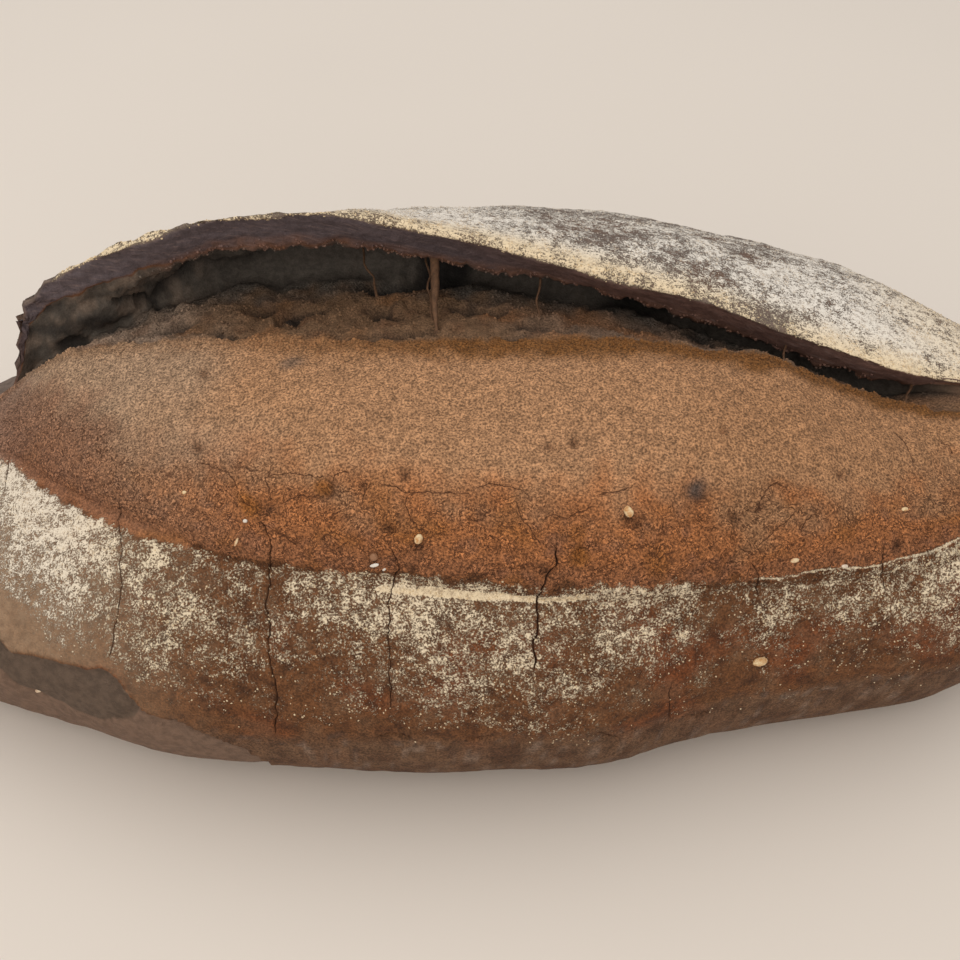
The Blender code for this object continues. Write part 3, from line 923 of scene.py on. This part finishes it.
crustFinish = {
    "speckSize": 0.42,        # the bloom's grain, in millimetres
    "speckSwing": (0.42, 1.70),
    # hairlineShade: painted shade in the fine folds of the bloom and wall
    "hairlineShade": tone(80, 47, 28),
    "stroke": tone(150, 130, 126),
    "flourSpeck": 0.36,
    "flourClump": 1.2,
    "flourDrift": 2.8,
    "creamFlour": tone(242, 220, 184),
    "whiteFlour": tone(242, 234, 222),
    "flourVeil": tone(172, 144, 116),
}


def crustMaterial():
    material, tree, shader, where = newMaterial("ryeCrust", 0.8, 0.25)
    finish = crustFinish
    bake = readField(tree, "bake", "Color")
    flour, creamy = readField(tree, "flour"), readField(tree, "creamy")
    grit, wrinkle = readField(tree, "grit"), readField(tree, "wrinkle")
    cutFace, crack = readField(tree, "cutFace"), readField(tree, "crack")

    # pale and dark specks, and broader patches that are lighter or darker
    speck = grain(tree, where, finish["speckSize"], 2, 0.65)
    coarse = grain(tree, where, 1.7, 2, 0.6)
    patch = stretch(tree, coarse, 0.30, 0.70, 0.80, 1.18)
    swing = stretch(tree, speck, 0.30, 0.72, *finish["speckSwing"])
    swing = newNode(tree, "ShaderNodeMix", {0: grit, 2: 1.0, 3: swing}, data_type="FLOAT")
    speckled = scaled(tree, bake, calc(tree, "MULTIPLY", swing.outputs[0], patch))

    # hairlines between the scales of the lower bloom: the level lines of two bent noises
    hairShare = 0.0
    for size, bend, width in ((3.4, 0.8, 0.022), (1.25, 1.6, 0.045)):
        scales = grain(tree, where, size, 2, 0.55, bend)
        level = calc(tree, "ABSOLUTE", calc(tree, "SUBTRACT", scales, 0.5))
        line = stretch(tree, level, 0.0, width, 1.0, 0.0)
        hairShare = calc(tree, "MAXIMUM", hairShare, line)
    hairShare = calc(tree, "MULTIPLY", calc(tree, "MULTIPLY", hairShare, wrinkle),
                     stretch(tree, coarse, 0.36, 0.60, 0.1, 0.85))
    offset = weigh(tree, (readField(tree, "hairlineSide"), 1.0), (coarse, 1.3),
                   (grain(tree, where, 0.5, 1), 0.25))
    offset = calc(tree, "ABSOLUTE", calc(tree, "SUBTRACT", offset, 0.77))
    folded = calc(tree, "MULTIPLY", stretch(tree, offset, 0.02, 0.17, 0.85, 0.0),
                  readField(tree, "hairlineHold"))
    hairShare = calc(tree, "MAXIMUM", hairShare, folded)
    # painted shade in the hairline folds
    lined = layer(tree, hairShare, speckled, opaque(finish["hairlineShade"]))

    # the smooth, darker underside below its ledge
    low = layer(tree, stretch(tree, readField(tree, "belowGroove"), -0.4, 0.4),
                opaque(crustTones["tuck"]), opaque(crustTones["tuckLow"]))
    low = scaled(tree, low, patch)
    ledge = weigh(tree, (readField(tree, "underLedge"), 1.0), (coarse, 0.9))
    lined = layer(tree, stretch(tree, ledge, 0.40, 0.62), lined, low)

    # fine slanting strokes that the blade left on the cut face
    slant = newNode(tree, "ShaderNodeMapping", {"Vector": where, "Rotation": (0.0, 0.33, 0.0),
                    "Scale": (9.0, 1.0, 1.0)}, vector_type="TEXTURE").outputs[0]
    strokes = grain(tree, slant, 0.7, 2, 0.6)
    strokeShare = calc(tree, "MULTIPLY", stretch(tree, strokes, 0.52, 0.76, 0.0, 0.55), cutFace)
    stroked = layer(tree, strokeShare, lined, opaque(finish["stroke"]))

    # flour: fine specks gathered in clumps, thicker where the field says so
    fleck = grain(tree, where, finish["flourSpeck"], 2, 0.65)
    clump = grain(tree, where, finish["flourClump"], 2, 0.5)
    heap = weigh(tree, (flour, 0.75), (fleck, 1.05), (clump, 0.56),
                 (grain(tree, where, finish["flourDrift"], 1), 0.26))
    present = stretch(tree, flour, 0.02, 0.12)
    flecks = calc(tree, "MULTIPLY", stretch(tree, heap, 1.22, 1.48), present)
    veil = calc(tree, "MULTIPLY", readField(tree, "veil"), patch)
    veiled = layer(tree, veil, stroked, opaque(finish["flourVeil"]))
    pale = layer(tree, creamy, opaque(finish["whiteFlour"]), opaque(finish["creamFlour"]))
    thin = layer(tree, 0.45, veiled, pale)
    flourTone = layer(tree, stretch(tree, weigh(tree, (fleck, 0.6), (clump, 0.4)), 0.38, 0.56),
                      thin, pale)
    dusted = layer(tree, flecks, veiled, flourTone)
    # painted shade in the cracks
    cracked = layer(tree, stretch(tree, crack, 0.08, 0.65), dusted, opaque(crustTones["creaseShade"]))
    tree.links.new(cracked, shader.inputs["Base Color"])

    rough = newNode(tree, "ShaderNodeMix", {0: cutFace, 2: 0.84, 3: 0.55}, data_type="FLOAT")
    roughest = newNode(tree, "ShaderNodeMix", {0: flecks, 2: rough.outputs[0], 3: 0.96},
                       data_type="FLOAT")
    tree.links.new(roughest.outputs[0], shader.inputs["Roughness"])

    gritty = calc(tree, "MULTIPLY", speck, grit)
    relief = weigh(tree, (gritty, 0.9), (coarse, 0.4), (flecks, 0.45), (hairShare, -0.5))
    bump = newNode(tree, "ShaderNodeBump", {"Strength": 0.9, "Distance": 0.0007, "Height": relief})
    tree.links.new(bump.outputs["Normal"], shader.inputs["Normal"])
    return material


# ---- loose grains and crumbs, grown on the crust ----

scattered = {
    "flourGrainsFront": {"field": "heapFront", "perSquareMm": 2.3, "slot": "flour",
                         "small": (0.09, 0.09, 0.06), "large": (0.30, 0.26, 0.17), "seed": 3},
    "flourGrainsBack": {"field": "heapBack", "perSquareMm": 1.5, "slot": "flour",
                        "small": (0.10, 0.10, 0.07), "large": (0.34, 0.30, 0.20), "seed": 5},
    "tornCrumbs": {"field": "crumbly", "perSquareMm": 2.2, "slot": "crumb",
                   "small": (0.15, 0.15, 0.12), "large": (0.52, 0.45, 0.42), "seed": 8},
}


def growOn(crust, name, lie):
    # sets small round bits on the crust, more where the named field is stronger
    tree = bpy.data.node_groups.new(name, "GeometryNodeTree")
    tree.interface.new_socket("Geometry", in_out="INPUT", socket_type="NodeSocketGeometry")
    tree.interface.new_socket("Geometry", in_out="OUTPUT", socket_type="NodeSocketGeometry")
    skin = newNode(tree, "NodeGroupInput").outputs["Geometry"]
    field = newNode(tree, "GeometryNodeInputNamedAttribute", {"Name": lie["field"]})
    dense = calc(tree, "MULTIPLY", field.outputs[0], lie["perSquareMm"] * 1e6)
    spots = newNode(tree, "GeometryNodeDistributePointsOnFaces",
                    {"Mesh": skin, "Density": dense, "Seed": lie["seed"]})
    bit = newNode(tree, "GeometryNodeMeshIcoSphere", {"Radius": mm, "Subdivisions": 1})
    turn = newNode(tree, "FunctionNodeRandomValue",
                   {0: (0, 0, 0), 1: (6.28, 6.28, 6.28), "Seed": lie["seed"] + 1},
                   data_type="FLOAT_VECTOR")
    scale = newNode(tree, "FunctionNodeRandomValue",
                    {0: lie["small"], 1: lie["large"], "Seed": lie["seed"] + 2},
                    data_type="FLOAT_VECTOR")
    placed = newNode(tree, "GeometryNodeInstanceOnPoints",
                     {"Points": spots.outputs["Points"], "Instance": bit.outputs["Mesh"],
                      "Rotation": turn.outputs[0], "Scale": scale.outputs[0]})
    real = newNode(tree, "GeometryNodeRealizeInstances", {"Geometry": placed.outputs[0]})
    newNode(tree, "NodeGroupOutput", {"Geometry": real.outputs[0]})

    source = bpy.data.objects.new(name, crust.data.copy())
    bpy.context.scene.collection.objects.link(source)
    source.modifiers.new(name, "NODES").node_group = tree
    seen = source.evaluated_get(bpy.context.evaluated_depsgraph_get())
    mesh = bpy.data.meshes.new_from_object(seen)
    bpy.data.objects.remove(source)
    mesh.name = name
    mesh.shade_smooth()
    mesh.materials.clear()
    piece = bpy.data.objects.new(name, mesh)
    bpy.context.scene.collection.objects.link(piece)
    print(name + ":", len(mesh.polygons) // 20, "bits")
    return piece


def flourMaterial():
    material, tree, shader, where = newMaterial("looseFlour", 0.95, 0.1)
    creamy = readField(tree, "creamy")
    varied = grain(tree, where, 0.9, 2, 0.6)
    flourTone = layer(tree, creamy, opaque(tone(222, 212, 198)), opaque(tone(232, 208, 168)))
    shaded = layer(tree, stretch(tree, varied, 0.35, 0.7, 0.0, 0.5), flourTone,
                   opaque(tone(180, 154, 124)))
    tree.links.new(shaded, shader.inputs["Base Color"])
    tree.links.new(stretch(tree, varied, 0.3, 0.7, 0.85, 1.0), shader.inputs["Roughness"])
    bump = newNode(tree, "ShaderNodeBump", {"Strength": 0.5, "Distance": 0.0001,
                   "Height": grain(tree, where, 0.15, 1)})
    tree.links.new(bump.outputs["Normal"], shader.inputs["Normal"])
    return material


def crumbMaterial(name, baked):
    # baked crumbs take the crust's colour where they lie, and strands have their own
    material, tree, shader, where = newMaterial(name, 0.85, 0.3)
    varied = grain(tree, where, 0.8, 2, 0.6)
    own = readField(tree, "bake", "Color") if baked else tone(98, 71, 51)
    warm = scaled(tree, own, stretch(tree, varied, 0.3, 0.7, 0.8, 1.45))
    tree.links.new(warm, shader.inputs["Base Color"])
    tree.links.new(stretch(tree, varied, 0.3, 0.7, 0.7, 0.95), shader.inputs["Roughness"])
    bump = newNode(tree, "ShaderNodeBump", {"Strength": 0.7, "Distance": 0.0002,
                   "Height": grain(tree, where, 0.35, 2)})
    tree.links.new(bump.outputs["Normal"], shader.inputs["Normal"])
    return material


# ---- strands of dough across the hollow ----

strands = [
    {"top": (-3.4, 4.93), "foot": (-1.6, 3.10), "thick": 0.80, "footShare": 0.36, "sway": 0.5},
    {"top": (-5.6, 4.60), "foot": (-2.4, 3.20), "thick": 0.22, "footShare": 0.8, "sway": 1.2},
    {"top": (-35.5, 4.70), "foot": (-33.0, 4.25), "thick": 0.16, "footShare": 0.7, "sway": 0.7},
    {"top": (-19.0, 4.35), "foot": (-14.6, 3.62), "thick": 0.24, "footShare": 1.0, "sway": 1.2},
    {"top": (18.8, 4.80), "foot": (18.6, 3.40), "thick": 0.24, "footShare": 0.8, "sway": 0.9},
    {"top": (33.0, 4.80), "foot": (30.0, 4.10), "thick": 0.15, "footShare": 0.8, "sway": 0.9},
    {"top": (70.2, 4.85), "foot": (66.5, 3.02), "thick": 0.24, "footShare": 0.9, "sway": 0.7},
    {"top": (97.5, 4.90), "foot": (93.4, 3.05), "thick": 0.26, "footShare": 0.9, "sway": 0.8},
]


def skinSpot(skin, x, column, value, low=0.0, high=9.0):
    # the crust's point and outward direction where x and one more column come nearest
    within = (skin["place"] >= low) & (skin["place"] <= high)
    away = np.hypot(skin["x"] - x, skin[column] - value) + 99 * ~within
    if column == "place":
        away = np.abs(skin["x"] - x) + 8 * np.abs(skin["place"] - value)
    i = np.unravel_index(np.argmin(away), away.shape)
    return Vector(skin["points"][i]) * mm, Vector(skin["normals"][i])


def drawStrands(skin):
    curve = bpy.data.curves.new("strandPaths", "CURVE")
    curve.dimensions = "3D"
    curve.bevel_depth = mm
    curve.bevel_resolution = 1
    curve.use_fill_caps = True
    for strand in strands:
        top, outTop = skinSpot(skin, strand["top"][0], "place", strand["top"][1])
        foot, outFoot = skinSpot(skin, strand["foot"][0], "place", strand["foot"][1])
        top -= outTop * 0.8 * mm
        foot -= outFoot * 0.8 * mm
        spline = curve.splines.new("POLY")
        spline.points.add(15)
        for i, point in enumerate(spline.points):
            t = i / 15
            spot = top.lerp(foot, t)
            sway = noise.noise_vector(spot / (4 * mm)) * strand["sway"] * mm * math.sin(math.pi * t)
            spot = spot + sway - Vector((0, 0, 1)) * 0.8 * mm * math.sin(math.pi * t)
            point.co = (*spot, 1)
            flare = 1 + 0.7 * abs(2 * t - 1) ** 5
            taper = float(mix(1, strand["footShare"], ease(0.35, 0.95, t)))
            uneven = 1 + 0.35 * noise.noise(spot / (2.2 * mm))
            point.radius = strand["thick"] * taper * flare * uneven
    paths = bpy.data.objects.new("strandPaths", curve)
    bpy.context.scene.collection.objects.link(paths)
    seen = paths.evaluated_get(bpy.context.evaluated_depsgraph_get())
    work = bmesh.new()
    work.from_mesh(bpy.data.meshes.new_from_object(seen))
    bpy.data.objects.remove(paths)
    bmesh.ops.remove_doubles(work, verts=work.verts, dist=0.00001)
    bmesh.ops.recalc_face_normals(work, faces=work.faces)
    return finishPiece("doughStrands", work)


# ---- whole grains and flakes stuck to the crust ----

stuckGrains = [
    # x, height from the flour line, length, width, thickness, turn, and how pale it is
    (-3.9, 8.9, 1.8, 1.5, 1.3, 70, 0.5), (32.5, 16.8, 2.1, 1.6, 1.4, -60, 0.4),
    (63.8, 6.1, 1.7, 0.9, 0.5, 10, 0.6), (-11.6, 3.2, 1.7, 0.65, 0.4, 12, 1.0),
    (-10.4, 2.4, 0.8, 0.5, 0.35, 30, 0.9), (-11.8, 4.8, 1.6, 1.5, 1.2, 0, 0.0),
    (59.0, -15.9, 2.8, 1.8, 1.5, 14, 0.5), (86.6, 12.8, 1.6, 0.8, 0.5, 15, 0.4),
    (73.8, 4.0, 1.3, 0.8, 0.5, 0, 0.8), (-35.2, 8.4, 0.9, 0.7, 0.6, 0, 0.9),
    (-37.0, 4.1, 1.8, 0.5, 0.4, 55, 0.6), (-48.0, 9.5, 1.0, 0.7, 0.6, 0, 0.4),
    (-79.8, -45.6, 1.7, 0.9, 0.5, 20, 0.7),
]


def pressGrains(skin):
    work = bmesh.new()
    pale = work.verts.layers.float.new("pale")
    for x, rise, length, width, thick, turn, paleness in stuckGrains:
        spot, out = skinSpot(skin, x, "rise", rise, 0.9, 2.95)
        made = bmesh.ops.create_icosphere(work, subdivisions=3, radius=mm / 2)["verts"]
        for vert in made:
            unit = vert.co / (mm / 2)
            vert[pale] = paleness
            vert.co *= 1 + 0.14 * noise.noise(unit * 1.4 + Vector((x, rise, 0)))
            vert.co.z -= 0.07 * mm * math.exp(-(unit.y / 0.22) ** 2) * max(unit.z, 0)
        bmesh.ops.scale(work, verts=made, vec=(length, width, thick))
        bmesh.ops.rotate(work, verts=made, matrix=Matrix.Rotation(math.radians(turn), 3, "Z"))
        lay = Vector((0, 0, 1)).rotation_difference(out).to_matrix()
        bmesh.ops.rotate(work, verts=made, matrix=lay)
        bmesh.ops.translate(work, verts=made, vec=spot + out * thick * 0.22 * mm)
    return finishPiece("cerealGrains", work)


def grainMaterial():
    material, tree, shader, where = newMaterial("cerealHusk", 0.6, 0.35)
    varied = grain(tree, where, 0.8, 3, 0.6)
    pale = readField(tree, "pale")
    husk = layer(tree, stretch(tree, varied, 0.35, 0.68), opaque(tone(232, 206, 162)),
                 opaque(tone(196, 140, 84)))
    husk = layer(tree, stretch(tree, pale, 0.5, 1.0), husk, opaque(tone(228, 220, 208)))
    husk = layer(tree, stretch(tree, pale, 0.35, 0.0), husk, opaque(tone(150, 108, 78)))
    tree.links.new(husk, shader.inputs["Base Color"])
    tree.links.new(stretch(tree, varied, 0.3, 0.7, 0.45, 0.75), shader.inputs["Roughness"])
    bump = newNode(tree, "ShaderNodeBump", {"Strength": 0.6, "Distance": 0.00015,
                   "Height": grain(tree, where, 0.3, 2)})
    tree.links.new(bump.outputs["Normal"], shader.inputs["Normal"])
    return material


# ---- the setting ----

setting = {
    "floorSize": 3.0,
    "floorTone": tone(233, 223, 212),
    "cameraBack": 0.1907,     # from the loaf's middle, towards the front
    "cameraRight": 0.0067,
    "cameraHeight": 0.217,
    "cameraDown": 45.0,       # degrees below level
    "cameraView": 45.0,
    "skyTone": (1.0, 0.98, 0.96, 1.0),
    "skyStrength": 0.60,
    "lamps": {
        "overheadLamp": {"place": (-0.30, 0.02, 1.2), "size": 1.7, "watts": 5.9,
                         "tone": (1.0, 0.97, 0.93)},
        "frontLamp": {"place": (-0.20, -0.95, 0.85), "size": 1.4, "watts": 4.2,
                      "tone": (1.0, 0.95, 0.88)},
    },
}


def setFloor():
    work = bmesh.new()
    bmesh.ops.create_grid(work, x_segments=1, y_segments=1, size=setting["floorSize"] / 2)
    bmesh.ops.translate(work, verts=work.verts, vec=(loafMiddle.x, loafMiddle.y, lowCorner.z))
    floor = finishPiece("floor", work, smooth=False)
    material, tree, shader, where = newMaterial("paleFloor", 0.5, 0.35)
    cloud = grain(tree, where, 240, 2, 0.5)
    r, g, b = setting["floorTone"]
    pale = layer(tree, stretch(tree, cloud, 0.3, 0.7), (r * 0.98, g * 0.98, b * 0.98, 1), (r, g, b, 1))
    tree.links.new(pale, shader.inputs["Base Color"])
    floor.data.materials.append(material)


def setLights():
    scene = bpy.context.scene
    world = bpy.data.worlds.new("softRoom")
    world.use_nodes = True
    sky = world.node_tree.nodes["Background"]
    sky.inputs["Color"].default_value = setting["skyTone"]
    sky.inputs["Strength"].default_value = setting["skyStrength"]
    scene.world = world
    for name, lamp in setting["lamps"].items():
        data = bpy.data.lights.new(name, "AREA")
        data.size = lamp["size"]
        data.energy = lamp["watts"]
        data.color = lamp["tone"]
        light = bpy.data.objects.new(name, data)
        light.location = Vector(lamp["place"])
        aim = loafMiddle - light.location
        light.rotation_euler = aim.to_track_quat("-Z", "Y").to_euler()
        scene.collection.objects.link(light)
    scene.view_settings.view_transform = "Standard"


def setCamera():
    data = bpy.data.cameras.new("camera")
    data.angle = math.radians(setting["cameraView"])
    data.clip_start = 0.01
    camera = bpy.data.objects.new("camera", data)
    camera.location = (loafMiddle.x + setting["cameraRight"], loafMiddle.y - setting["cameraBack"],
                       lowCorner.z + setting["cameraHeight"])
    camera.rotation_euler = (math.radians(90 - setting["cameraDown"]), 0, 0)
    bpy.context.scene.collection.objects.link(camera)
    bpy.context.scene.camera = camera


setCamera()
setLights()
setFloor()
print("setting ready")

crust, skin = buildCrust()
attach(crust, "root")
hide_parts("loaf")

looks = {"flour": flourMaterial(), "crumb": crumbMaterial("tornCrumb", True)}
for name, lie in scattered.items():
    bits = growOn(crust, name, lie)
    bits.data.materials.append(looks[lie["slot"]])
    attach(bits, "root")
for name in ("heapFront", "heapBack", "crumbly"):
    crust.data.attributes.remove(crust.data.attributes[name])

for piece, slot, look in ((drawStrands(skin), "crumb", crumbMaterial("drawnDough", False)),
                          (pressGrains(skin), "grain", grainMaterial())):
    piece.data.materials.append(look)
    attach(piece, "root")
    print(piece.name + ":", len(piece.data.polygons), "faces")
